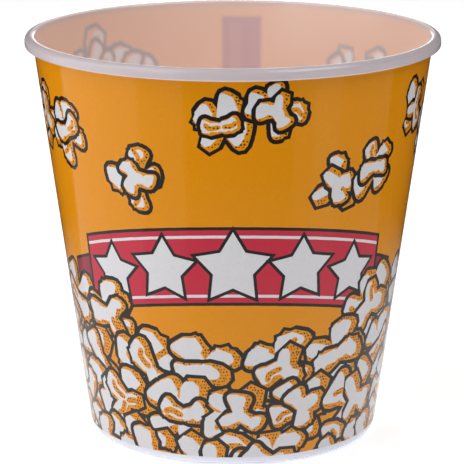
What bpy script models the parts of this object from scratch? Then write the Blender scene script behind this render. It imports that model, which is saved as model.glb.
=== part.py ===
"""Empty plastic popcorn bucket: one moulded polypropylene tub, open at the top.

The tub is a single turned solid. Its thin wall leans outwards from a small
foot, and ends in a lip that turns over and hangs down as a short skirt, which
leaves a narrow channel round the outside. The floor is lifted a little, so
that the bucket stands on a flat foot ring.

Units are metres, +Z is up, and the origin is the centre of the foot ring on
the surface that the bucket stands on. The front of the bucket faces -Y.
"""

import math

import bmesh
import bpy

# Outside sizes of the bucket.
RIM_DIAMETER = 0.185
HEIGHT = 0.1813
FOOT_DIAMETER = 0.1293       # the wall's outside line carried down to the table
WALL_DIAMETER_UNDER_LIP = 0.1772

# Thicknesses of the moulding.
WALL = 0.0011
FLOOR = 0.0014
SKIRT = 0.0010

# Lip at the top.
LIP_DROP = 0.0051            # from the top of the bucket to the skirt's lower edge
LIP_INNER_ROUND = 0.0010
LIP_OUTER_ROUND = 0.0020
SKIRT_EDGE_ROUND = 0.0004

# Foot at the bottom.
FLOOR_LIFT = 0.0016          # gap between the table and the lifted floor
FOOT_ROUND = 0.0046          # outside corner between wall and foot ring
FOOT_RING_WIDTH = 0.0042     # flat ring that touches the table
FLOOR_INNER_ROUND = 0.0042   # inside corner between floor and wall

STEPS_ROUND = 96
ARC_STEPS = 4
SMALL_ARC_STEPS = 2
MERGE_DISTANCE = 0.00005
SHARP_ANGLE = math.radians(40)

PRINT_ORANGE = (0.68, 0.26, 0.02, 1.0)
PLASTIC_ROUGHNESS = 0.28


def clear_scene():
    """Remove every object that the file starts with."""
    for obj in list(bpy.data.objects):
        bpy.data.objects.remove(obj, do_unlink=True)


def arc(centre, radius, start, end, steps=ARC_STEPS):
    """Points (r, z) on an arc round centre, with its angles in radians."""
    points = []
    for i in range(steps + 1):
        angle = start + (end - start) * i / steps
        points.append((centre[0] + radius * math.cos(angle),
                       centre[1] + radius * math.sin(angle)))
    return points


def wall_lean():
    """Angle between the wall and the vertical."""
    rise = HEIGHT - LIP_DROP
    run = (WALL_DIAMETER_UNDER_LIP - FOOT_DIAMETER) / 2
    return math.atan2(run, rise)


def outer_wall_radius(z):
    """Radius of the outside of the wall at height z."""
    return FOOT_DIAMETER / 2 + z * math.tan(wall_lean())


def inner_wall_radius(z):
    """Radius of the inside of the wall at height z."""
    return outer_wall_radius(z) - WALL / math.cos(wall_lean())


def inside_points():
    """Half-section of the inside: floor centre, inner corner, wall up to the lip."""
    lean = wall_lean()
    floor_top = FLOOR_LIFT + FLOOR
    corner_z = floor_top + FLOOR_INNER_ROUND
    corner_r = inner_wall_radius(corner_z) - FLOOR_INNER_ROUND / math.cos(lean)
    corner = arc((corner_r, corner_z), FLOOR_INNER_ROUND, -math.pi / 2, -lean)
    lip_z = HEIGHT - LIP_INNER_ROUND
    lip_r = inner_wall_radius(lip_z) + LIP_INNER_ROUND / math.cos(lean)
    lip = arc((lip_r, lip_z), LIP_INNER_ROUND, math.pi - lean, math.pi / 2)
    return [(0.0, floor_top)] + corner + lip


def lip_points():
    """Half-section of the lip: over the top, down the skirt and up its channel."""
    rim = RIM_DIAMETER / 2
    over = arc((rim - LIP_OUTER_ROUND, HEIGHT - LIP_OUTER_ROUND), LIP_OUTER_ROUND,
               math.pi / 2, 0.0)
    edge_z = HEIGHT - LIP_DROP + SKIRT_EDGE_ROUND
    edge_out = arc((rim - SKIRT_EDGE_ROUND, edge_z), SKIRT_EDGE_ROUND,
                   0.0, -math.pi / 2, SMALL_ARC_STEPS)
    edge_in = arc((rim - SKIRT + SKIRT_EDGE_ROUND, edge_z), SKIRT_EDGE_ROUND,
                  -math.pi / 2, -math.pi, SMALL_ARC_STEPS)
    channel_round = LIP_OUTER_ROUND - SKIRT
    channel_top = HEIGHT - SKIRT
    over_channel = arc((rim - SKIRT - channel_round, channel_top - channel_round),
                       channel_round, 0.0, math.pi / 2)
    channel_corner = (outer_wall_radius(channel_top), channel_top)
    return over + edge_out + edge_in + over_channel + [channel_corner]


def foot_points():
    """Half-section of the foot: outer corner, flat ring and the lifted floor."""
    lean = wall_lean()
    corner_r = outer_wall_radius(FOOT_ROUND) - FOOT_ROUND / math.cos(lean)
    corner = arc((corner_r, FOOT_ROUND), FOOT_ROUND, -lean, -math.pi / 2)
    ring_inner = corner_r - FOOT_RING_WIDTH
    return corner + [(ring_inner, 0.0),
                     (ring_inner - FLOOR_LIFT / 2, FLOOR_LIFT),
                     (0.0, FLOOR_LIFT)]


def turned_solid(name, points, collection):
    """Turn an (r, z) half-section round Z into one closed solid."""
    mesh = bpy.data.meshes.new(name)
    section = bmesh.new()
    verts = [section.verts.new((r, 0.0, z)) for r, z in points]
    for first, second in zip(verts, verts[1:]):
        section.edges.new((first, second))
    section.to_mesh(mesh)
    section.free()
    obj = bpy.data.objects.new(name, mesh)
    collection.objects.link(obj)
    screw = obj.modifiers.new("turn", "SCREW")
    screw.axis = "Z"
    screw.steps = STEPS_ROUND
    screw.render_steps = STEPS_ROUND
    screw.use_merge_vertices = True
    screw.merge_threshold = MERGE_DISTANCE
    return obj


def shade_round(obj):
    """Apply the turn, then shade it smooth with its real corners left sharp."""
    section = obj.data
    graph = bpy.context.evaluated_depsgraph_get()
    turned = bpy.data.meshes.new_from_object(obj.evaluated_get(graph))
    obj.modifiers.clear()
    obj.data = turned
    bpy.data.meshes.remove(section)
    turned.name = obj.name
    turned.shade_smooth()
    turned.set_sharp_from_angle(angle=SHARP_ANGLE)


def printed_polypropylene():
    """Slightly glossy plastic in the orange of the print that covers the wall."""
    material = bpy.data.materials.new("printed_polypropylene")
    material.use_nodes = True
    shader = material.node_tree.nodes["Principled BSDF"]
    shader.inputs["Base Color"].default_value = PRINT_ORANGE
    shader.inputs["Roughness"].default_value = PLASTIC_ROUGHNESS
    shader.inputs["Metallic"].default_value = 0.0
    return material


def make_bucket(collection):
    """The whole bucket: inside, lip, outside and foot, in one moulding."""
    points = inside_points() + lip_points() + foot_points()
    bucket = turned_solid("bucket", points, collection)
    shade_round(bucket)
    bucket.data.materials.append(printed_polypropylene())
    return bucket


def main():
    """Build the bucket in a collection of its own."""
    clear_scene()
    collection = bpy.data.collections.new("popcorn_bucket")
    bpy.context.scene.collection.children.link(collection)
    make_bucket(collection)


main()
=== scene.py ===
"""Dressed model of an empty plastic popcorn bucket with a screen print.

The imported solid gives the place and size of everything. A finer turned tub of
milky polypropylene replaces it. The print is a thin skin of ink on the wall,
and what shows of it from inside, through the milky wall, is a second skin.

Lengths are in metres, except in the flat layout of the print, which is in
millimetres: across the wall at its reference radius, and up from the table.
"""

import logging
import math
import random
from dataclasses import dataclass, field
from enum import Enum

import bmesh
import bpy
import numpy as np
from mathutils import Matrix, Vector
from mathutils.geometry import delaunay_2d_cdt


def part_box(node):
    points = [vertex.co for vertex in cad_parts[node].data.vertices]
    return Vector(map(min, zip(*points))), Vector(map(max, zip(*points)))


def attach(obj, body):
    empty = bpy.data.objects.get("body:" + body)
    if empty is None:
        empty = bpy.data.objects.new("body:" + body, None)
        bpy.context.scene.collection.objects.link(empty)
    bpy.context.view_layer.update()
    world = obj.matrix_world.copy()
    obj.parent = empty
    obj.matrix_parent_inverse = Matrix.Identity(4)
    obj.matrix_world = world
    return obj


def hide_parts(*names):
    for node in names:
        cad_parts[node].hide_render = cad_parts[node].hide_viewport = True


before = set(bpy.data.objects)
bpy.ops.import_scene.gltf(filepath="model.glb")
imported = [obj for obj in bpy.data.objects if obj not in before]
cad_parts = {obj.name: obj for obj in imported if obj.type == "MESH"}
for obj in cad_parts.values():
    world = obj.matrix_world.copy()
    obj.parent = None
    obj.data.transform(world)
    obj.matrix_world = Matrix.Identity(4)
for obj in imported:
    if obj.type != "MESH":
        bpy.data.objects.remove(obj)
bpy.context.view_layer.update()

LOG = logging.getLogger("popcorn_bucket")
BODY = "root"
NODE = "bucket"
MM = 0.001
PER_METRE = 1000.0
TURN = 2.0 * math.pi
TINY = 1e-6
MIX_FIRST, MIX_SECOND, MIX_RESULT = 6, 7, 2
SMOOTH = {"interpolation_type": "SMOOTHSTEP"}
LOOSE_SEED, HEAP_SEED = 11, 5
PAST_SEAM = 10.0

Point = tuple[float, float]
Ball = tuple[float, float, float]


def linear_rgba(hex_colour: str) -> tuple[float, float, float, float]:
    """Turn an sRGB hex colour to the linear values that shaders take.

    Args:
        hex_colour: six hex digits after a hash.

    Returns:
        Linear red, green and blue, with an alpha of one.
    """
    channels = []
    for start in (1, 3, 5):
        value = int(hex_colour[start:start + 2], 16) / 255.0
        channels.append(value / 12.92 if value <= 0.04045 else ((value + 0.055) / 1.055) ** 2.4)
    return channels[0], channels[1], channels[2], 1.0


def add_node(tree: bpy.types.NodeTree, kind: str, settings: dict | None = None,
             links: dict | None = None) -> bpy.types.Node:
    """Add a node with its settings and links.

    Args:
        tree: node tree that gets the node.
        kind: the node's type name.
        settings: values by the name or place of an input socket, or by the name of a property.
        links: output sockets of other nodes, by the name or place of this node's input.

    Returns:
        The new node.
    """
    node = tree.nodes.new(kind)
    for name, value in (settings or {}).items():
        if isinstance(name, int) or name in node.inputs:
            node.inputs[name].default_value = value
        else:
            setattr(node, name, value)
    for name, source in (links or {}).items():
        tree.links.new(source, node.inputs[name])
    return node


def new_material(name: str) -> tuple[bpy.types.Material, bpy.types.NodeTree]:
    """Make an empty node material.

    Args:
        name: the material's name.

    Returns:
        The material and its cleared node tree.
    """
    material = bpy.data.materials.new(name)
    material.use_nodes = True
    material.node_tree.nodes.clear()
    return material, material.node_tree


def arc(centre: Point, radius: float, start: float, end: float, steps: int) -> list[Point]:
    """Points on an arc of a half-section.

    Args:
        centre: radius and height of the arc's centre.
        radius: the arc's radius.
        start: first angle in radians, from outwards towards up.
        end: last angle in radians.
        steps: number of pieces.

    Returns:
        The arc's points, both ends included.
    """
    angles = [start + (end - start) * i / steps for i in range(steps + 1)]
    return [(centre[0] + radius * math.cos(a), centre[1] + radius * math.sin(a)) for a in angles]


@dataclass(frozen=True)
class WallShape:
    """The leaning wall that the tub and both skins share, in metres.

    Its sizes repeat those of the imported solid, whose box gives the rim and height.
    """

    rim_radius: float
    height: float
    foot_radius: float = 0.06465
    radius_under_lip: float = 0.0886
    lip_drop: float = 0.0051
    wall: float = 0.0011

    @property
    def slope(self) -> float:
        """Outward run of the wall for each unit of height."""
        return (self.radius_under_lip - self.foot_radius) / (self.height - self.lip_drop)

    @property
    def lean(self) -> float:
        """Angle between the wall and the vertical, in radians."""
        return math.atan(self.slope)

    def outer(self, z: float) -> float:
        """Outside radius of the wall at a height."""
        return self.foot_radius + self.slope * z

    def inner(self, z: float) -> float:
        """Inside radius of the wall at a height."""
        return self.outer(z) - self.wall / math.cos(self.lean)


@dataclass(frozen=True)
class MilkyPolypropylene:
    """Natural polypropylene, injection moulded in a satin-polished tool.

    The unpigmented plastic scatters light, so it looks like thin milk with a
    cool tint, and its skin has a soft gloss with faint flow waves. The foot is
    painted paler and bluer: partly the thick plastic's own tint, partly painted
    light from the glowing table through it. The double lip is painted a shade
    deeper and warmer: partly its thicker plastic, partly painted shade with warm
    light from the ink. Its inside is painted paler, as painted light coming
    through it.
    """

    tint: str = "#E3E0E8"
    shade: str = "#D9D6DF"
    # painted light: the foot is painted paler and bluer, partly the thick plastic's own tint, partly the
    # glowing table's light through it
    foot: str = "#E2E4EF"
    # painted shade and warm light: the outer lip is painted deeper and warmer, partly its thicker plastic,
    # partly shade and warm light from the ink
    lip: str = "#C9BEC2"
    # painted light: the lip's inside is painted paler and pinker, as light coming through it
    lip_inside_painted_glow: str = "#EAD6D3"
    foot_glow_from: float = 0.014
    foot_glow_to: float = 0.004
    lip_painted_from: float = 0.1760
    lip_painted_to: float = 0.1770
    glow_inside_from: float = 0.0904
    glow_inside_to: float = 0.0894
    roughness: float = 0.14
    roughness_spread: float = 0.03
    ior: float = 1.49
    scatter: float = 0.25
    scatter_mm: float = 0.9
    scatter_rgb: tuple[float, float, float] = (1.0, 0.95, 0.9)
    flow_mm: float = 9.0
    flow_bump: float = 0.05
    flow_depth_mm: float = 0.3
    grain_mm: float = 0.8

    def make(self) -> bpy.types.Material:
        """Build the material for bare plastic."""
        material, tree = new_material("milky_polypropylene")
        where = add_node(tree, "ShaderNodeTexCoord").outputs["Object"]
        cloud = add_node(tree, "ShaderNodeTexNoise", {"Scale": PER_METRE / self.flow_mm, "Detail": 2.0},
                         {"Vector": where})
        colour = add_node(tree, "ShaderNodeMix",
                          {"data_type": "RGBA", MIX_FIRST: linear_rgba(self.shade),
                           MIX_SECOND: linear_rgba(self.tint)}, {"Factor": cloud.outputs["Fac"]})
        place = add_node(tree, "ShaderNodeSeparateXYZ", links={"Vector": where})
        flat = add_node(tree, "ShaderNodeVectorMath", {"operation": "MULTIPLY", 1: (1.0, 1.0, 0.0)},
                        {0: where})
        out = add_node(tree, "ShaderNodeVectorMath", {"operation": "LENGTH"}, {0: flat.outputs["Vector"]})
        # painted light: the paler colour of the lip's inside is chosen by radius
        inside = add_node(tree, "ShaderNodeMapRange",
                          {"From Min": self.glow_inside_from, "From Max": self.glow_inside_to, **SMOOTH},
                          {"Value": out.outputs["Value"]})
        lip = add_node(tree, "ShaderNodeMix",
                       {"data_type": "RGBA", MIX_FIRST: linear_rgba(self.lip),
                        MIX_SECOND: linear_rgba(self.lip_inside_painted_glow)}, {"Factor": inside.outputs["Result"]})
        # painted light and shade by height: the foot is painted paler, and the lip deeper and warmer
        # outside and paler inside
        for start, end, shade, source in (
                (self.foot_glow_from, self.foot_glow_to, {MIX_SECOND: linear_rgba(self.foot)}, {}),
                (self.lip_painted_from, self.lip_painted_to, {}, {MIX_SECOND: lip.outputs[MIX_RESULT]})):
            near = add_node(tree, "ShaderNodeMapRange", {"From Min": start, "From Max": end, **SMOOTH},
                            {"Value": place.outputs["Z"]})
            colour = add_node(tree, "ShaderNodeMix", {"data_type": "RGBA", **shade},
                              {"Factor": near.outputs["Result"], MIX_FIRST: colour.outputs[MIX_RESULT],
                               **source})
        shader = self.shader(tree, where, colour.outputs[MIX_RESULT])
        add_node(tree, "ShaderNodeOutputMaterial", links={"Surface": shader.outputs["BSDF"]})
        return material

    def shader(self, tree: bpy.types.NodeTree, where: bpy.types.NodeSocket,
               colour: bpy.types.NodeSocket) -> bpy.types.Node:
        """Add the plastic's shader, with its gloss and flow waves.

        Args:
            tree: the material's node tree.
            where: socket that gives the place on the object.
            colour: socket that gives the colour.

        Returns:
            The Principled node.
        """
        grain = add_node(tree, "ShaderNodeTexNoise", {"Scale": PER_METRE / self.grain_mm, "Detail": 1.0},
                         {"Vector": where})
        gloss = add_node(tree, "ShaderNodeMapRange",
                         {"To Min": self.roughness - self.roughness_spread,
                          "To Max": self.roughness + self.roughness_spread},
                         {"Value": grain.outputs["Fac"]})
        wave = add_node(tree, "ShaderNodeTexNoise", {"Scale": PER_METRE / self.flow_mm, "Detail": 0.0},
                        {"Vector": where})
        bump = add_node(tree, "ShaderNodeBump",
                        {"Strength": self.flow_bump, "Distance": self.flow_depth_mm * MM},
                        {"Height": wave.outputs["Fac"]})
        return add_node(tree, "ShaderNodeBsdfPrincipled",
                        {"IOR": self.ior, "Subsurface Weight": self.scatter,
                         "Subsurface Radius": self.scatter_rgb, "Subsurface Scale": self.scatter_mm * MM},
                        {"Base Color": colour, "Roughness": gloss.outputs["Result"],
                         "Normal": bump.outputs["Normal"]})


class Ink(Enum):
    """The inks of the print, each with its sRGB colour as it dries on the wall."""

    ORANGE = "#DB8B02"
    WHITE = "#D4D3D7"
    CHARCOAL = "#231F1E"
    RED = "#BE2B40"
    MAROON = "#8C2236"

    @property
    def slot(self) -> int:
        """Place of the ink among the skin's material slots."""
        return list(Ink).index(self)


@dataclass(frozen=True)
class ScreenInk:
    """Screen ink under a clear varnish, on smooth polypropylene.

    The ink film is even, with a faint mottle where the mesh let more through,
    and the varnish gives it all one sharp, plastic-like gloss.
    """

    roughness: float = 0.10
    roughness_spread: float = 0.02
    ior: float = 1.48
    mottle_mm: float = 1.6
    mottle: float = 0.05
    wave_mm: float = 14.0
    wave_bump: float = 0.04
    wave_depth_mm: float = 0.3

    def make(self, ink: Ink) -> bpy.types.Material:
        """Build the material of one ink.

        Args:
            ink: which ink it is.

        Returns:
            The ink's material.
        """
        material, tree = new_material("screen_ink_" + ink.name.lower())
        where = add_node(tree, "ShaderNodeTexCoord").outputs["Object"]
        mottle = add_node(tree, "ShaderNodeTexNoise", {"Scale": PER_METRE / self.mottle_mm, "Detail": 2.0},
                          {"Vector": where})
        depth, gloss = (
            add_node(tree, "ShaderNodeMapRange", {"To Min": middle - spread, "To Max": middle + spread},
                     {"Value": mottle.outputs["Fac"]})
            for middle, spread in ((1.0, self.mottle), (self.roughness, self.roughness_spread)))
        colour = add_node(tree, "ShaderNodeHueSaturation", {"Color": linear_rgba(ink.value)},
                          {"Value": depth.outputs["Result"]})
        wave = add_node(tree, "ShaderNodeTexNoise", {"Scale": PER_METRE / self.wave_mm, "Detail": 0.0},
                        {"Vector": where})
        bump = add_node(tree, "ShaderNodeBump",
                        {"Strength": self.wave_bump, "Distance": self.wave_depth_mm * MM},
                        {"Height": wave.outputs["Fac"]})
        shader = add_node(tree, "ShaderNodeBsdfPrincipled", {"IOR": self.ior},
                          {"Base Color": colour.outputs["Color"], "Roughness": gloss.outputs["Result"],
                           "Normal": bump.outputs["Normal"]})
        add_node(tree, "ShaderNodeOutputMaterial", links={"Surface": shader.outputs["BSDF"]})
        return material


@dataclass(frozen=True)
class Stamp:
    """One flat shape of one ink in the print's layout."""

    outline: tuple[Point, ...]
    ink: Ink
    fine: bool = False

    @property
    def box(self) -> tuple[float, float, float, float]:
        """Least and most across, then least and most up."""
        across = [p[0] for p in self.outline]
        up = [p[1] for p in self.outline]
        return min(across), max(across), min(up), max(up)


@dataclass
class PrintLayout:
    """The flat layout of the print, later shapes over earlier ones.

    Args:
        shape: wall that the print goes round.
        low: lower edge of the ink, in millimetres up.
        high: upper edge of the ink.
        reference: radius at which across is true, in millimetres.
        stamps: the shapes so far.
    """

    shape: WallShape
    low: float = 4.4
    high: float = 176.9
    reference: float = 77.0
    stamps: list[Stamp] = field(default_factory=list)

    @property
    def half(self) -> float:
        """Half the way round, in millimetres."""
        return math.pi * self.reference

    def squeeze(self, up: float) -> float:
        """How much wider a shape is laid at a height to come out true."""
        return self.reference * MM / self.shape.outer(up * MM)

    def lay(self, outline: list[Point], ink: Ink, fine: bool = False) -> None:
        """Add a shape, and its other end where it crosses the seam at the back.

        Args:
            outline: the shape's corners, anticlockwise.
            ink: its ink.
            fine: True if it is too small to show through the wall.
        """
        stamp = Stamp(tuple(outline), ink, fine)
        left, right, low, high = stamp.box
        if high <= self.low or low >= self.high:
            return
        self.stamps.append(stamp)
        way_round = 2 * self.half
        for crosses, shift in ((left < -self.half, way_round), (right > self.half, -way_round)):
            if crosses:
                self.stamps.append(Stamp(tuple((x + shift, y) for x, y in outline), ink, fine))


def rectangle(left: float, right: float, low: float, high: float) -> list[Point]:
    """Corners of an upright rectangle, anticlockwise."""
    return [(left, low), (right, low), (right, high), (left, high)]


def egg(first: Ball, second: Ball, grow: float, steps: int) -> list[Point]:
    """Outline round two circles, such as one lobe of a popped kernel.

    Args:
        first: across, up and radius of one circle.
        second: the same of the other.
        grow: how far the outline stands off both.
        steps: pieces in each end.

    Returns:
        The outline's points, anticlockwise.
    """
    (ax, ay, ar), (bx, by, br) = first, second
    far = max(math.hypot(bx - ax, by - ay), TINY)
    along = math.atan2(by - ay, bx - ax)
    lean = math.acos(max(-1.0, min(1.0, (ar - br) / far)))
    points = []
    for (x, y, r), start, sweep in ((second, along - lean, 2 * lean),
                                    (first, along + lean, TURN - 2 * lean)):
        for i in range(steps + 1):
            angle = start + sweep * i / steps
            points.append((x + (r + grow) * math.cos(angle), y + (r + grow) * math.sin(angle)))
    return points


def disc(x: float, y: float, radius: float, corners: int = 6) -> list[Point]:
    """A small dot with a few corners."""
    return [(x + radius * math.cos(TURN * i / corners), y + radius * math.sin(TURN * i / corners))
            for i in range(corners)]


def depth_inside(spots: np.ndarray, outline: tuple[Point, ...]) -> np.ndarray:
    """How far inside an outline each spot lies, or outside if negative.

    Args:
        spots: across and up of each spot.
        outline: the outline's corners.

    Returns:
        One distance for each spot.
    """
    corners = np.array(outline)
    start, side = corners[None, :, :], (np.roll(corners, -1, axis=0) - corners)[None, :, :]
    offset = spots[:, None, :] - start
    length = np.maximum((side ** 2).sum(-1), 1e-12)
    along = np.clip((offset * side).sum(-1) / length, 0.0, 1.0)
    away = np.sqrt(((offset - along[:, :, None] * side) ** 2).sum(-1)).min(axis=1)
    above = start[:, :, 1] > spots[:, None, 1]
    crosses = above != np.roll(above, -1, axis=1)
    rise = np.where(crosses, side[:, :, 1], 1.0)
    meets = start[:, :, 0] + side[:, :, 0] * (spots[:, None, 1] - start[:, :, 1]) / rise
    inside = (crosses & (spots[:, None, 0] < meets)).sum(axis=1) % 2 == 1
    return np.where(inside, away, -away)


@dataclass
class Tier:
    """Puffs of one flake at one depth, joined under one dark outline."""

    dark: list[list[Point]] = field(default_factory=list)
    hull: list[list[Point]] = field(default_factory=list)
    lit: list[list[Point]] = field(default_factory=list)
    fold: list[list[Point]] = field(default_factory=list)

    def stamp(self, layout: PrintLayout) -> None:
        """Lay the outline, then the orange hull side, the white and the orange folds in it."""
        for outlines, ink in ((self.dark, Ink.CHARCOAL), (self.hull, Ink.ORANGE),
                              (self.lit, Ink.WHITE), (self.fold, Ink.ORANGE)):
            for outline in outlines:
                layout.lay(outline, ink)


@dataclass
class Flake:
    """A popped kernel: tiers of angular puffs that burst from one root.

    Args:
        across: place of its middle across the layout, in millimetres.
        up: place of its middle up the layout.
        size: about half its width.
        squeeze: how much wider it is laid.
        dice: random source that shapes it.
    """

    across: float
    up: float
    size: float
    squeeze: float
    dice: random.Random
    stroke: float = 1.9
    light: float = math.radians(165)
    facets: int = 3
    back: tuple[float, float] = (0.60, 0.34)
    front: tuple[float, float] = (0.40, 0.27)
    stray: float = 0.3
    reach_spread: tuple[float, float] = (0.85, 1.15)
    end_spread: tuple[float, float] = (0.8, 1.2)
    root_out: float = 0.08
    root_size: tuple[float, float] = (0.16, 0.24)
    root_lit: float = 0.80
    tip_lit: tuple[float, float] = (0.44, 0.62)
    knob_turn: tuple[float, float] = (0.7, 1.3)
    knob_out: tuple[float, float] = (0.7, 1.0)
    knob_size: tuple[float, float] = (0.4, 0.65)
    knob_lit: tuple[float, float] = (0.38, 0.56)
    fold_chance: float = 0.25
    fold_bend: tuple[float, float] = (0.25, 0.4)
    fold_radius: float = 0.075
    fold_line: tuple[Point, ...] = ((0.25, -0.4), (0.6, 0.15), (0.95, 0.1), (1.2, -0.5))
    tiers: list[Tier] = field(default_factory=list)

    def __post_init__(self) -> None:
        """Cast the back tier, then the front tier turned between its puffs."""
        dice = self.dice
        turn = dice.uniform(0, TURN)
        count = dice.choice((3, 4, 4, 5))
        self.tiers.append(self.tier(turn, count, *self.back))
        self.tiers.append(self.tier(turn + math.pi / count, dice.choice((2, 3, 3)), *self.front))

    def tier(self, turn: float, count: int, reach: float, width: float) -> Tier:
        """Shape one tier.

        Args:
            turn: direction of its first puff.
            count: number of puffs.
            reach: how far out their ends are, as a share of the size.
            width: radius of their ends, as a share of the size.

        Returns:
            The tier.
        """
        dice, size, tier = self.dice, self.size, Tier()
        for i in range(count):
            angle = turn + TURN * i / count + dice.uniform(-self.stray, self.stray)
            far = size * reach * dice.uniform(*self.reach_spread)
            end = size * width * dice.uniform(*self.end_spread)
            near = self.root_out * size
            root = (near * math.cos(angle), near * math.sin(angle), size * dice.uniform(*self.root_size))
            tip = (far * math.cos(angle), far * math.sin(angle), end)
            self.puff(tier, root, tip, dice.uniform(*self.tip_lit))
            if dice.random() < self.fold_chance:
                self.crease(tier, angle, far)
            for side in dice.sample((-1, 1), dice.choice((0, 1, 1, 2))):
                lean = angle + side * dice.uniform(*self.knob_turn)
                away = end * dice.uniform(*self.knob_out)
                knob = (tip[0] + away * math.cos(lean), tip[1] + away * math.sin(lean),
                        end * dice.uniform(*self.knob_size))
                self.puff(tier, tip, knob, dice.uniform(*self.knob_lit))
        return tier

    def crease(self, tier: Tier, angle: float, far: float) -> None:
        """Add a curved orange fold along a puff.

        Args:
            tier: the tier.
            angle: direction of the puff.
            far: how far out its end is.
        """
        bend = self.dice.choice((-1, 1)) * self.dice.uniform(*self.fold_bend)
        radius = self.size * self.fold_radius
        beads = []
        for share, turn in self.fold_line:
            way = angle + bend * turn
            beads.append((far * share * math.cos(way), far * share * math.sin(way), radius))
        for first, second in zip(beads, beads[1:]):
            tier.fold.append(self.place(egg(first, second, 0.0, self.facets)))

    def puff(self, tier: Tier, root: Ball, tip: Ball, lit: float) -> None:
        """Add one puff to a tier.

        Args:
            tier: the tier.
            root: its inner circle.
            tip: its outer circle.
            lit: share of its end that is white.
        """
        facets = self.facets + self.dice.choice((0, 0, 1))
        for outlines, first, second, grow in (
                (tier.dark, root, tip, self.stroke), (tier.hull, root, tip, 0.0),
                (tier.lit, self.lit_ball(root, self.root_lit), self.lit_ball(tip, lit), 0.0)):
            outlines.append(self.place(egg(first, second, grow, facets)))

    def lit_ball(self, ball: Ball, lit: float) -> Ball:
        """The white part of a circle, shrunk towards the light."""
        gap = ball[2] * (1 - lit)
        return ball[0] + gap * math.cos(self.light), ball[1] + gap * math.sin(self.light), ball[2] * lit

    def place(self, outline: list[Point]) -> list[Point]:
        """Move an outline to the flake's place in the layout."""
        return [(self.across + x * self.squeeze, self.up + y) for x, y in outline]

    def stamp(self, layout: PrintLayout) -> None:
        """Lay its tiers, the back one first."""
        for tier in self.tiers:
            tier.stamp(layout)


@dataclass
class Dots:
    """Dots of shading on the orange side of every puff.

    Args:
        flakes: all flakes, in the order in which they are laid.
        dice: random source that jitters the dots.
    """

    flakes: list[Flake]
    dice: random.Random
    pitch: float = 1.45
    jitter: float = 0.28
    least: float = 0.30
    most: float = 0.50
    rim: float = 0.38
    reach: float = 2.6

    def stamp(self, layout: PrintLayout) -> None:
        """Lay the dots that no later shape hides.

        Args:
            layout: layout that gets the dots.
        """
        for i, flake in enumerate(self.flakes):
            later = [f for f in self.flakes[i + 1:]
                     if abs(f.across - flake.across) < self.reach * f.size
                     and abs(f.up - flake.up) < self.reach * f.size]
            over = [outline for f in later for tier in f.tiers for outline in tier.dark]
            for k, tier in enumerate(flake.tiers):
                above = [outline for upper in flake.tiers[k + 1:] for outline in upper.dark]
                spots = self.grid(tier)
                spots = spots[self.most_inside(spots, tier.hull) > self.rim]
                shaded = self.most_inside(spots, tier.lit) < -self.rim
                folded = self.most_inside(spots, tier.fold) > self.rim
                spots = spots[shaded | folded]
                spots = spots[self.most_inside(spots, above + over) < -self.rim]
                for x, y in spots:
                    radius = self.dice.uniform(self.least, self.most)
                    layout.lay(disc(x, y, radius), Ink.CHARCOAL, True)

    def grid(self, tier: Tier) -> np.ndarray:
        """A jittered grid of spots over a tier."""
        points = np.array([p for outline in tier.hull for p in outline])
        low, high = points.min(axis=0), points.max(axis=0)
        spots = []
        for row in range(int((high[1] - low[1]) / self.pitch)):
            for column in range(int((high[0] - low[0]) / self.pitch)):
                x = low[0] + (column + row % 2 / 2 + 0.5) * self.pitch
                y = low[1] + (row + 0.5) * self.pitch
                spots.append((x + self.dice.uniform(-self.jitter, self.jitter),
                              y + self.dice.uniform(-self.jitter, self.jitter)))
        return np.array(spots).reshape(-1, 2)

    def most_inside(self, spots: np.ndarray, outlines: list[list[Point]]) -> np.ndarray:
        """How far inside the nearest of some outlines each spot lies."""
        depth = np.full(len(spots), -np.inf)
        for outline in outlines:
            depth = np.maximum(depth, depth_inside(spots, outline))
        return depth


@dataclass
class Heap:
    """The heap of popcorn that fills the lower part of the print.

    Args:
        dice: random source that strews the flakes.
        level: height of the heap's top line, in millimetres.
        climb: how much higher it is at both sides.
        swells: height, number round the bucket and start of each wave in it.
    """

    dice: random.Random
    level: float = 67.0
    row: float = 21.5
    spacing: float = 33.0
    least: float = 16.5
    most: float = 21.0
    climb: float = 34.0
    swells: tuple[tuple[float, float, float], ...] = ((7.0, 3.0, 0.6), (4.0, 7.0, 2.0))
    first_row: float = 131.5
    last_row: float = -6.0
    seam_gap: float = 1.0
    jitter: float = 3.0
    sunk: float = 0.7

    def top(self, across: float, layout: PrintLayout) -> float:
        """Height of the heap's top line.

        Args:
            across: place across the layout.
            layout: the layout.

        Returns:
            Millimetres up.
        """
        angle = across / layout.reference
        top = self.level + self.climb * math.sin(angle) ** 2
        for height, waves, start in self.swells:
            top += height * math.sin(waves * angle + start)
        return top

    def strew(self, layout: PrintLayout) -> list[Flake]:
        """Lay the flakes in rows, the nearest and lowest last.

        Args:
            layout: layout that gets the flakes.

        Returns:
            The flakes, in order.
        """
        flakes = []
        row, count = self.first_row, 0
        while row > self.last_row:
            across = -layout.half + (count % 2) * self.spacing / 2
            while across < layout.half - self.seam_gap:
                x = across + self.dice.uniform(-self.jitter, self.jitter)
                y = row + self.dice.uniform(-self.jitter, self.jitter)
                size = self.dice.uniform(self.least, self.most)
                if y < self.top(x, layout) - self.sunk * size:
                    flakes.append(Flake(x, y, size, layout.squeeze(y), self.dice))
                across += self.spacing
            row -= self.row
            count += 1
        for flake in flakes:
            flake.stamp(layout)
        return flakes


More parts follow.
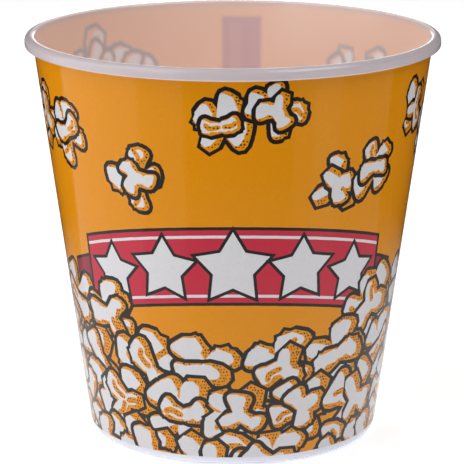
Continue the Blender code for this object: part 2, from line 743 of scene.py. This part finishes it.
@dataclass
class Banner:
    """A red ribbon with white trim and a row of stars, arched over the heap.

    Args:
        up: height of the ribbon's middle line at its centre, in millimetres.
        reach: half its length.
        depth: its width.
    """

    up: float = 94.0
    reach: float = 72.0
    depth: float = 33.0
    arch: float = 11.0
    stroke: float = 1.4
    trim_inset: float = 2.4
    trim_width: float = 1.3
    tail_out: float = 13.0
    tail_in: float = 15.0
    tail_drop: float = 9.0
    stars: tuple[float, ...] = (12.4, 14.4, 16.6, 14.4, 12.4)
    gap: float = 0.8
    inner: float = 0.54
    star_drop: float = 0.06
    pieces: int = 16

    def line(self, across: float) -> float:
        """Height of the ribbon's middle line."""
        return self.up - self.arch * (across / self.reach) ** 2

    def strip(self, start: float, end: float, low: float, high: float) -> list[Point]:
        """Outline of a strip that follows the middle line.

        Args:
            start: its left end.
            end: its right end.
            low: its lower edge, from the middle line.
            high: its upper edge, from the middle line.

        Returns:
            The outline's points, anticlockwise.
        """
        places = [start + (end - start) * i / self.pieces for i in range(self.pieces + 1)]
        under = [(x, self.line(x) + low) for x in places]
        over = [(x, self.line(x) + high) for x in reversed(places)]
        return under + over

    def star(self, across: float, size: float, grow: float, squeeze: float) -> list[Point]:
        """Outline of a five-pointed star that sits on the middle line.

        Args:
            across: place of its centre.
            size: radius of its points.
            grow: how far its outline stands off it.
            squeeze: how much wider it is laid.

        Returns:
            The outline's points, anticlockwise.
        """
        half = math.pi / 5
        edge = (math.cos(half) * self.inner - 1.0, math.sin(half) * self.inner)
        flat = size * edge[1] / math.hypot(*edge)
        scale = size * (flat + grow) / flat
        up = self.line(across) - self.star_drop * size
        points = []
        for i in range(10):
            radius = scale * (1.0 if i % 2 == 0 else self.inner)
            angle = math.pi / 2 + half * i
            points.append((across + radius * math.cos(angle) * squeeze, up + radius * math.sin(angle)))
        return points

    def stamp(self, layout: PrintLayout) -> None:
        """Lay the tails, then the ribbon with its trim, then its stars.

        Args:
            layout: layout that gets the shapes.
        """
        half, stroke = self.depth / 2, self.stroke
        for side in (-1, 1):
            ends = sorted((side * (self.reach - self.tail_in), side * (self.reach + self.tail_out)))
            for ink, grow in ((Ink.CHARCOAL, stroke), (Ink.MAROON, 0.0)):
                layout.lay(self.strip(ends[0] - grow, ends[1] + grow, -half - grow - self.tail_drop,
                                      half + grow - self.tail_drop), ink)
        for ink, grow in ((Ink.CHARCOAL, stroke), (Ink.RED, 0.0)):
            layout.lay(self.strip(-self.reach - grow, self.reach + grow, -half - grow, half + grow), ink)
        for low in (-half + self.trim_inset, half - self.trim_inset - self.trim_width):
            layout.lay(self.strip(-self.reach, self.reach, low, low + self.trim_width), Ink.WHITE)
        squeeze = layout.squeeze(self.up)
        widths = [(2 * math.cos(math.pi / 10) * size + self.gap) * squeeze for size in self.stars]
        left = -sum(widths) / 2
        for size, width in zip(self.stars, widths):
            for ink, grow in ((Ink.CHARCOAL, stroke), (Ink.WHITE, 0.0)):
                layout.lay(self.star(left + width / 2, size, grow, squeeze), ink)
            left += width


@dataclass
class BackPanel:
    """A plain red panel at the back with a darker bar, in millimetres.

    Args:
        aside: how far it stands from the seam.
        half_width: half its width.
        bar: left and right edge of the bar, from the panel's middle.
        bar_drop: how far the bar starts below the panel's top.
    """

    aside: float = -3.8
    half_width: float = 8.4
    low: float = 112.0
    high: float = 174.0
    bar: tuple[float, float] = (0.4, 4.8)
    bar_drop: float = 3.0

    def stamp(self, layout: PrintLayout) -> None:
        """Lay the panel, then its bar."""
        middle = layout.half + self.aside
        for left, right, high, ink in ((-self.half_width, self.half_width, self.high, Ink.RED),
                                       (*self.bar, self.high - self.bar_drop, Ink.MAROON)):
            layout.lay([(middle + x, y) for x, y in rectangle(left, right, self.low, high)], ink)


@dataclass
class LooseFlakes:
    """Small groups of flakes that fly over the orange ground.

    Args:
        dice: random source that shapes them.
        groups: across, up and count of each group, in millimetres.
    """

    dice: random.Random
    groups: tuple[tuple[float, float, int], ...] = (
        (-88, 148, 2), (-40, 137, 1), (6, 157, 2), (54, 134, 2), (92, 158, 1), (134, 132, 3),
        (180, 152, 2), (-140, 136, 2), (-184, 156, 2), (-212, 122, 1), (222, 116, 1))
    apart: tuple[float, float] = (19.0, 23.0)
    drift: float = 8.0
    sizes: tuple[float, float] = (13.5, 16.0)

    def strew(self, layout: PrintLayout) -> list[Flake]:
        """Lay every group.

        Args:
            layout: layout that gets the flakes.

        Returns:
            The flakes, in order.
        """
        flakes = []
        for across, up, count in self.groups:
            for i in range(count):
                x = across + (i - (count - 1) / 2) * self.dice.uniform(*self.apart)
                y = up + self.dice.uniform(-self.drift, self.drift)
                flakes.append(Flake(x, y, self.dice.uniform(*self.sizes), layout.squeeze(y), self.dice))
        for flake in flakes:
            flake.stamp(layout)
        return flakes


@dataclass
class PrintedSkin:
    """The print as a thin skin of ink on the outside of the wall.

    Args:
        layout: the finished layout.
        shape: wall that it goes round.
        finish: how the inks look.
    """

    layout: PrintLayout
    shape: WallShape
    finish: ScreenInk = field(default_factory=ScreenInk)
    strips: int = 192
    proud: float = 0.00003
    snap: float = 1e-4
    on_cut: float = 1e-3
    flat_within: float = 0.01
    name: str = "print"

    def flat(self) -> bmesh.types.BMesh:
        """Cut the layout into faces of one ink each.

        Every face takes the ink of the last shape laid over it. Upright cuts
        keep the faces narrow enough to bend round the wall.

        Returns:
            A flat mesh in the layout's millimetres.
        """
        layout = self.layout
        points, loops = [], []
        for stamp in layout.stamps:
            loops.append(list(range(len(points), len(points) + len(stamp.outline))))
            points.extend(Vector(p) for p in stamp.outline)
        cuts = []
        for i in range(self.strips + 1):
            x = -layout.half + 2 * layout.half * i / self.strips
            cuts.append((len(points), len(points) + 1))
            points += [Vector((x, layout.low)), Vector((x, layout.high))]
        spots, _, faces, _, _, sources = delaunay_2d_cdt(points, cuts, loops, 1, self.snap, True)
        flat = bmesh.new()
        verts = [flat.verts.new((p.x, p.y, 0.0)) for p in spots]
        for corners, origin in zip(faces, sources):
            if origin and self.within([spots[i] for i in corners]):
                face = flat.faces.new([verts[i] for i in corners])
                face.material_index = layout.stamps[max(origin)].ink.slot
        stray = [v for v in verts if not v.link_faces]
        bmesh.ops.delete(flat, geom=stray, context="VERTS")
        return flat

    def within(self, corners: list[Vector]) -> bool:
        """True if a face lies inside the printed band."""
        middle = sum(corners, Vector((0.0, 0.0))) / len(corners)
        return abs(middle.x) < self.layout.half and self.layout.low < middle.y < self.layout.high

    def simplify(self, flat: bmesh.types.BMesh) -> None:
        """Join neighbours of one ink, but keep the upright cuts.

        Args:
            flat: the flat mesh.
        """
        step = 2 * self.layout.half / self.strips
        for edge in flat.edges:
            first, last = (v.co.x / step + self.strips / 2 for v in edge.verts)
            edge.seam = all(abs(gap) < self.on_cut
                            for gap in (first - round(first), last - round(last), first - last))
        bmesh.ops.dissolve_limit(flat, angle_limit=self.flat_within, verts=flat.verts, edges=flat.edges,
                                 delimit={"MATERIAL", "SEAM"})
        bmesh.ops.triangulate(flat, faces=flat.faces)

    def wrap(self, flat: bmesh.types.BMesh) -> None:
        """Bend the flat mesh round the wall, from millimetres to metres.

        Args:
            flat: the flat mesh, which is changed.
        """
        for vert in flat.verts:
            angle = vert.co.x / self.layout.reference
            z = vert.co.y * MM
            radius = self.shape.outer(z) + self.proud
            vert.co = Vector((radius * math.sin(angle), -radius * math.cos(angle), z))
        bmesh.ops.remove_doubles(flat, verts=flat.verts, dist=TINY)

    def build(self) -> bpy.types.Object:
        """Make the skin and dress it in its inks."""
        flat = self.flat()
        self.simplify(flat)
        self.wrap(flat)
        piece = finish_piece(self.name, flat)
        shade_as_cone(piece, self.shape, 1.0)
        for ink in Ink:
            piece.data.materials.append(self.finish.make(ink))
        return piece


def make_object(name: str, work: bmesh.types.BMesh) -> bpy.types.Object:
    """Turn finished mesh work into an object in the scene.

    Args:
        name: the object's name.
        work: its mesh, which is freed.

    Returns:
        The object.
    """
    mesh = bpy.data.meshes.new(name)
    work.to_mesh(mesh)
    work.free()
    made = bpy.data.objects.new(name, mesh)
    bpy.context.scene.collection.objects.link(made)
    return made


def finish_piece(name: str, work: bmesh.types.BMesh) -> bpy.types.Object:
    """Turn finished mesh work into a smooth piece that rides with the bucket.

    Args:
        name: the piece's name.
        work: its mesh, which is freed.

    Returns:
        The piece.
    """
    piece = make_object(name, work)
    piece.data.shade_smooth()
    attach(piece, BODY)
    LOG.info("%s: %d faces", name, len(piece.data.polygons))
    return piece


def shade_as_cone(piece: bpy.types.Object, shape: WallShape, side: float) -> None:
    """Give a skin the true normals of the wall.

    Args:
        piece: the skin.
        shape: the wall.
        side: 1 for the outside, -1 for the inside.
    """
    across, down = math.cos(shape.lean) * side, -math.sin(shape.lean) * side
    normals = []
    for vert in piece.data.vertices:
        radius = math.hypot(vert.co.x, vert.co.y)
        normals.append((vert.co.x / radius * across, vert.co.y / radius * across, down))
    piece.data.normals_split_custom_set_from_vertices(normals)


@dataclass(frozen=True)
class InkBehindPlastic:
    """The same milky polypropylene where ink lies on its far side.

    A millimetre of milky plastic washes the inks out and blurs their edges:
    orange turns to a warm beige, charcoal to a soft grey, red to a dusty pink.
    """

    plastic: MilkyPolypropylene = MilkyPolypropylene(roughness=0.32)
    orange: str = "#FDD8C4"
    white: str = "#F6F3F6"
    charcoal: str = "#BFC1C9"
    red: str = "#E0C1C4"
    attribute: str = "ink_behind"

    def make(self, low: float, high: float, fade: float) -> bpy.types.Material:
        """Build the material.

        Args:
            low: height of the print's lower edge, in metres.
            high: height of its upper edge.
            fade: height over which each edge fades into bare plastic, painted in the lip's glow colour.

        Returns:
            The material, which reads how much of each ink lies behind.
        """
        material, tree = new_material("milky_polypropylene_over_ink")
        where = add_node(tree, "ShaderNodeTexCoord").outputs["Object"]
        behind = add_node(tree, "ShaderNodeAttribute", {"attribute_name": self.attribute})
        share = add_node(tree, "ShaderNodeSeparateColor", links={"Color": behind.outputs["Color"]})
        place = add_node(tree, "ShaderNodeSeparateXYZ", links={"Vector": where})
        over, under = (
            add_node(tree, "ShaderNodeMapRange", {"From Min": start, "From Max": end, **SMOOTH},
                     {"Value": place.outputs["Z"]})
            for start, end in ((high - 2 * fade, high + 2 * fade), (low + fade, low - fade)))
        # painted light: the bare bands above and below the ink take the lip's painted glow colour
        bare = add_node(tree, "ShaderNodeMath", {"operation": "MAXIMUM"},
                        {0: over.outputs["Result"], 1: under.outputs["Result"]})
        before = {}
        for hex_colour, amount in (
                (self.white, share.outputs["Red"]), (self.charcoal, share.outputs["Green"]),
                (self.red, share.outputs["Blue"]), (self.plastic.lip_inside_painted_glow, bare.outputs["Value"])):
            mix = add_node(tree, "ShaderNodeMix",
                           {"data_type": "RGBA", MIX_FIRST: linear_rgba(self.orange),
                            MIX_SECOND: linear_rgba(hex_colour)}, {"Factor": amount, **before})
            before = {MIX_FIRST: mix.outputs[MIX_RESULT]}
        shader = self.plastic.shader(tree, where, mix.outputs[MIX_RESULT])
        add_node(tree, "ShaderNodeOutputMaterial", links={"Surface": shader.outputs["BSDF"]})
        return material


@dataclass
class ShowThrough:
    """The print as it shows from inside, soft and pale through the wall.

    Args:
        layout: the finished layout.
        shape: the wall.
        finish: plastic with ink behind it.
    """

    layout: PrintLayout
    shape: WallShape
    finish: InkBehindPlastic = field(default_factory=InkBehindPlastic)
    columns: int = 600
    rows: int = 150
    crowd: float = 0.4
    blur: float = 1.1
    low: float = 8.4
    high: float = 180.6
    glow: float = 179.4
    fade: float = 0.0011
    sunk: float = 0.00003
    name: str = "print_seen_from_inside"

    def coverage(self, spots: np.ndarray) -> np.ndarray:
        """How much of each ink lies behind each spot.

        Every shape is laid with soft edges over those before it.

        Args:
            spots: across and up of each spot, in the layout's millimetres.

        Returns:
            One row for each spot: white, charcoal, red and a one.
        """
        inks = {Ink.ORANGE: (0, 0, 0), Ink.WHITE: (1, 0, 0), Ink.CHARCOAL: (0, 1, 0),
                Ink.RED: (0, 0, 1), Ink.MAROON: (0, 0.25, 0.75)}
        cover = np.zeros((len(spots), 4))
        cover[:, 3] = 1.0
        order = np.argsort(spots[:, 0], kind="stable")
        across = spots[order, 0]
        for stamp in self.layout.stamps:
            if stamp.fine:
                continue
            left, right, low, high = stamp.box
            first, last = np.searchsorted(across, (left - self.blur, right + self.blur))
            near = order[first:last]
            up = spots[near, 1]
            near = near[(up > low - self.blur) & (up < high + self.blur)]
            if not len(near):
                continue
            depth = depth_inside(spots[near], stamp.outline)
            share = np.clip(0.5 + depth / (2 * self.blur), 0.0, 1.0)
            share = (share * share * (3 - 2 * share))[:, None]
            cover[near, :3] = cover[near, :3] * (1 - share) + np.array(inks[stamp.ink]) * share
        return cover

    def build(self) -> bpy.types.Object:
        """Lay the sheet just inside the wall and store what lies behind it."""
        work = bmesh.new()
        bmesh.ops.create_grid(work, x_segments=self.columns, y_segments=self.rows, size=1.0)
        layer = work.verts.layers.float_color.new(self.finish.attribute)
        spots = np.empty((len(work.verts), 2))
        for i, vert in enumerate(work.verts):
            share = (vert.co.y + 1.0) / 2.0
            rise = share * (1.0 + self.crowd) - self.crowd * share * share
            spots[i] = (vert.co.x * self.layout.half, self.low + (self.high - self.low) * rise)
        cover = self.coverage(spots)
        for vert, (across, up), shares in zip(work.verts, spots, cover):
            angle = across / self.layout.reference
            radius = self.shape.inner(up * MM) - self.sunk
            vert.co = Vector((radius * math.sin(angle), -radius * math.cos(angle), up * MM))
            vert[layer] = shares
        bmesh.ops.remove_doubles(work, verts=work.verts, dist=TINY)
        bmesh.ops.reverse_faces(work, faces=work.faces)
        piece = finish_piece(self.name, work)
        shade_as_cone(piece, self.shape, -1.0)
        piece.data.materials.append(self.finish.make(self.layout.low * MM, self.glow * MM, self.fade))
        return piece


@dataclass
class Tub:
    """The moulded tub: inside, lip, outside and foot in one closed shell.

    Args:
        shape: the wall that it shares with the skins.
        finish: its plastic.
    """

    shape: WallShape
    finish: MilkyPolypropylene = field(default_factory=MilkyPolypropylene)
    floor: float = 0.0014
    floor_lift: float = 0.0016
    floor_round: float = 0.0042
    foot_round: float = 0.0046
    ring_width: float = 0.0042
    gate_radius: float = 0.0016
    gate_height: float = 0.0005
    gate_taper: float = 0.8
    skirt: float = 0.0014
    skirt_outer_round: float = 0.0011
    skirt_inner_round: float = 0.0003
    lip_edge: float = 0.0013
    lip_outer_round: float = 0.0023
    steps: int = 256
    sharp_from: float = math.radians(40)
    name: str = "tub"

    def inside(self) -> list[Point]:
        """Half-section of the inside, from the floor's centre to the lip."""
        shape, lean = self.shape, self.shape.lean
        top = self.floor_lift + self.floor
        z = top + self.floor_round
        corner = (shape.inner(z) - self.floor_round / math.cos(lean), z)
        lip_z = shape.height - self.lip_edge
        lip = (shape.inner(lip_z) + self.lip_edge / math.cos(lean), lip_z)
        return ([(0.0, top)] + arc(corner, self.floor_round, -math.pi / 2, -lean, steps=8)
                + arc(lip, self.lip_edge, math.pi - lean, math.pi / 2, steps=9))

    def lip(self) -> list[Point]:
        """Half-section of the lip, over its top, round its skirt and up the channel."""
        rim, height = self.shape.rim_radius, self.shape.height
        low, outer, inner = height - self.shape.lip_drop, self.skirt_outer_round, self.skirt_inner_round
        under = self.lip_outer_round - self.skirt
        over = (rim - self.lip_outer_round, height - self.lip_outer_round)
        channel_top = height - self.skirt
        return (arc(over, self.lip_outer_round, math.pi / 2, 0.0, steps=12)
                + arc((rim - outer, low + outer), outer, 0.0, -math.pi / 2, steps=7)
                + arc((rim - self.skirt + inner, low + inner), inner, -math.pi / 2, -math.pi, steps=4)
                + arc(over, under, 0.0, math.pi / 2, steps=6)
                + [(self.shape.outer(channel_top), channel_top)])

    def foot(self) -> list[Point]:
        """Half-section of the foot, from the wall to the moulding gate's stub underneath."""
        lean = self.shape.lean
        corner = (self.shape.outer(self.foot_round) - self.foot_round / math.cos(lean), self.foot_round)
        ring = corner[0] - self.ring_width
        lift, gate_end = self.floor_lift, self.floor_lift - self.gate_height
        return (arc(corner, self.foot_round, -lean, -math.pi / 2, steps=10)
                + [(ring, 0.0), (ring - lift / 2, lift), (self.gate_radius, lift),
                   (self.gate_taper * self.gate_radius, gate_end), (0.0, gate_end)])

    def build(self) -> bpy.types.Object:
        """Turn the half-section into the tub and dress it in plastic."""
        work = bmesh.new()
        verts = [work.verts.new((r, 0.0, z)) for r, z in self.inside() + self.lip() + self.foot()]
        edges = [work.edges.new(pair) for pair in zip(verts, verts[1:])]
        bmesh.ops.spin(work, geom=verts + edges, cent=(0, 0, 0), axis=(0, 0, 1), dvec=(0, 0, 0),
                       angle=TURN, steps=self.steps, use_merge=True, use_normal_flip=False,
                       use_duplicate=False)
        bmesh.ops.remove_doubles(work, verts=work.verts, dist=TINY)
        bmesh.ops.recalc_face_normals(work, faces=work.faces)
        tub = finish_piece(self.name, work)
        tub.data.set_sharp_from_angle(angle=self.sharp_from)
        tub.data.materials.append(self.finish.make())
        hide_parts(NODE)
        return tub


@dataclass(frozen=True)
class SoftBox:
    """A rectangular soft light that faces the bucket, and shows in reflections if in_gloss."""

    name: str
    place: tuple[float, float, float]
    size: tuple[float, float]
    watts: float
    in_gloss: bool = True

    def hang(self, aim: Vector) -> None:
        """Hang the box, facing a point.

        Args:
            aim: the point that it faces.
        """
        light = bpy.data.lights.new(self.name, "AREA")
        light.shape = "RECTANGLE"
        light.size, light.size_y = self.size
        light.energy = self.watts
        lamp = bpy.data.objects.new(self.name, light)
        lamp.location = self.place
        lamp.rotation_euler = (aim - Vector(self.place)).to_track_quat("-Z", "Y").to_euler()
        lamp.visible_camera = False
        lamp.visible_glossy = self.in_gloss
        bpy.context.scene.collection.objects.link(lamp)


@dataclass
class GlossCard:
    """A grey card round the foot that only gloss sees, as dark and light flags.

    It keeps the table's white out of the reflections, apart from near the foot
    and from the lit bands to the left and the right.

    Args:
        bands: where each grey starts, in turns from the left round by the front, and its brightness.
    """

    inner: float = 0.0668
    outer: float = 3.0
    lift: float = 0.0004
    near: float = 0.08
    far: float = 0.34
    near_light: float = 0.95
    bands: tuple[tuple[float, float], ...] = (
        (0.0, 0.70), (0.10, 0.34), (0.175, 0.03), (0.342, 0.22), (0.375, 0.42),
        (0.42, 0.24), (0.527, 0.02), (0.559, 0.14), (0.564, 0.02), (0.936, 0.62))
    segments: int = 96

    def build(self) -> None:
        """Lay the card."""
        work = bmesh.new()
        ring = bmesh.ops.create_circle(work, radius=self.inner, segments=self.segments)["verts"]
        edges = [e for e in work.edges if e.verts[0] in ring]
        grown = bmesh.ops.extrude_edge_only(work, edges=edges)["geom"]
        rim = [v for v in grown if isinstance(v, bmesh.types.BMVert)]
        bmesh.ops.scale(work, vec=(self.outer / self.inner, self.outer / self.inner, 1.0), verts=rim)
        bmesh.ops.translate(work, vec=(0.0, 0.0, self.lift), verts=work.verts)
        bmesh.ops.recalc_face_normals(work, faces=work.faces)
        stand_card("gloss_card", work, self.material())

    def material(self) -> bpy.types.Material:
        """Grey bands by direction, all pale near the foot."""
        material, tree = new_material("grey_card")
        where = add_node(tree, "ShaderNodeTexCoord").outputs["Object"]
        turn = add_node(tree, "ShaderNodeTexGradient", {"gradient_type": "RADIAL"},
                        {"Vector": where})
        ramp = add_node(tree, "ShaderNodeValToRGB", links={"Fac": turn.outputs["Fac"]})
        ramp.color_ramp.interpolation = "CONSTANT"
        stops = ramp.color_ramp.elements
        stops.remove(stops[1])
        for i, (place, light) in enumerate(self.bands):
            stop = stops[0] if i == 0 else stops.new(place)
            stop.color = (light, light, light, 1.0)
        away = add_node(tree, "ShaderNodeVectorMath", {"operation": "LENGTH"}, {0: where})
        close = add_node(tree, "ShaderNodeMapRange",
                         {"From Min": self.near, "From Max": self.far, "To Min": 1.0, "To Max": 0.0},
                         {"Value": away.outputs["Value"]})
        pale = (self.near_light, self.near_light, self.near_light, 1.0)
        mix = add_node(tree, "ShaderNodeMix", {"data_type": "RGBA", MIX_SECOND: pale},
                       {"Factor": close.outputs["Result"], MIX_FIRST: ramp.outputs["Color"]})
        glow = add_node(tree, "ShaderNodeEmission", links={"Color": mix.outputs[MIX_RESULT]})
        add_node(tree, "ShaderNodeOutputMaterial", links={"Surface": glow.outputs["Emission"]})
        return material


@dataclass
class WhiteCard:
    """An upright white card behind the bucket that only gloss sees."""

    behind: float = 1.0
    half_width: float = 0.17
    low: float = 0.19
    high: float = 0.33
    light: float = 3.0

    def build(self) -> None:
        """Stand the card."""
        work = bmesh.new()
        corners = rectangle(-self.half_width, self.half_width, self.low, self.high)
        work.faces.new([work.verts.new((x, self.behind, z)) for x, z in corners])
        material, tree = new_material("white_card")
        glow = add_node(tree, "ShaderNodeEmission", {"Strength": self.light})
        add_node(tree, "ShaderNodeOutputMaterial", links={"Surface": glow.outputs["Emission"]})
        stand_card("back_card", work, material)


def stand_card(name: str, work: bmesh.types.BMesh, material: bpy.types.Material) -> None:
    """Turn finished mesh work into a card that only gloss sees.

    Args:
        name: the card's name.
        work: its mesh, which is freed.
        material: its brightness.
    """
    card = make_object(name, work)
    card.data.materials.append(material)
    for ray in ("camera", "diffuse", "transmission", "volume_scatter", "shadow"):
        setattr(card, "visible_" + ray, False)


@dataclass
class Studio:
    """A pale lit table, soft boxes round it, and the camera."""

    aim_height: float = 0.09
    aside: float = -0.00038
    distance: float = 1.1085
    eye_height: float = 0.3705
    tilt: float = 0.24826
    lens: float = 195.5
    sensor: float = 36.0
    clip_end: float = 50.0
    table_colour: str = "#FAFAFA"
    table_roughness: float = 0.9
    table_radius: float = 6.0
    table_segments: int = 64
    table_gap: float = 0.00005
    table_glow: float = 0.36
    far_glow: float = 0.7
    glow_from: float = 0.8
    glow_to: float = 3.5
    boxes: tuple[SoftBox, ...] = (
        SoftBox("top_left", (-0.6, -0.4, 1.1), (0.8, 0.8), 4.6),
        SoftBox("top_right", (0.6, -0.4, 1.1), (0.8, 0.8), 7.4),
        SoftBox("left", (-0.95, -0.1, 0.45), (0.8, 0.8), 3.0),
        SoftBox("front_left", (-0.85, -0.95, 0.4), (0.6, 0.6), 2.6),
        SoftBox("back", (0.0, 1.1, 0.9), (1.4, 0.8), 9.4, in_gloss=False))

    def table(self) -> None:
        """Lay a wide pale table that glows a little, and more where the boxes' light runs out."""
        work = bmesh.new()
        bmesh.ops.create_circle(work, cap_ends=True, radius=self.table_radius, segments=self.table_segments)
        bmesh.ops.translate(work, vec=(0.0, 0.0, -self.table_gap), verts=work.verts)
        table = make_object("table", work)
        material, tree = new_material("matt_acrylic")
        where = add_node(tree, "ShaderNodeTexCoord").outputs["Object"]
        away = add_node(tree, "ShaderNodeVectorMath", {"operation": "LENGTH"}, {0: where})
        glow = add_node(tree, "ShaderNodeMapRange",
                        {"From Min": self.glow_from, "From Max": self.glow_to,
                         "To Min": self.table_glow, "To Max": self.far_glow},
                        {"Value": away.outputs["Value"]})
        shader = add_node(tree, "ShaderNodeBsdfPrincipled",
                          {"Base Color": linear_rgba(self.table_colour), "Roughness": self.table_roughness,
                           "Emission Color": linear_rgba("#FFFFFF")},
                          {"Emission Strength": glow.outputs["Result"]})
        add_node(tree, "ShaderNodeOutputMaterial", links={"Surface": shader.outputs["BSDF"]})
        table.data.materials.append(material)

    def camera(self) -> None:
        """Place the camera."""
        data = bpy.data.cameras.new("camera")
        data.lens = self.lens
        data.sensor_width = self.sensor
        data.clip_end = self.clip_end
        camera = bpy.data.objects.new("camera", data)
        camera.location = (self.aside, -self.distance, self.eye_height)
        camera.rotation_euler = (math.pi / 2 - self.tilt, 0.0, 0.0)
        bpy.context.scene.collection.objects.link(camera)
        bpy.context.scene.camera = camera

    def build(self) -> None:
        """Set up the whole studio."""
        bpy.context.scene.view_settings.view_transform = "Standard"
        self.camera()
        self.table()
        GlossCard().build()
        WhiteCard().build()
        for box in self.boxes:
            box.hang(Vector((0.0, 0.0, self.aim_height)))


def make_layout(shape: WallShape) -> PrintLayout:
    """Lay out the whole print.

    Args:
        shape: wall that the print goes round.

    Returns:
        The finished layout.
    """
    layout = PrintLayout(shape)
    edge = layout.half + PAST_SEAM
    layout.lay(rectangle(-edge, edge, layout.low, layout.high), Ink.ORANGE)
    dice = random.Random(LOOSE_SEED)
    BackPanel().stamp(layout)
    loose = LooseFlakes(dice).strew(layout)
    Banner().stamp(layout)
    heaped = Heap(random.Random(HEAP_SEED)).strew(layout)
    Dots(loose + heaped, dice).stamp(layout)
    return layout


def main() -> None:
    """Build the studio and the bucket's pieces in order."""
    logging.basicConfig(level=logging.INFO, format="%(relativeCreated)d %(name)s: %(message)s")
    low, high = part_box(NODE)
    shape = WallShape(rim_radius=high.x, height=high.z - low.z)
    Studio().build()
    Tub(shape).build()
    layout = make_layout(shape)
    LOG.info("layout: %d shapes", len(layout.stamps))
    PrintedSkin(layout, shape).build()
    ShowThrough(layout, shape).build()


if __name__ == "__main__":
    main()
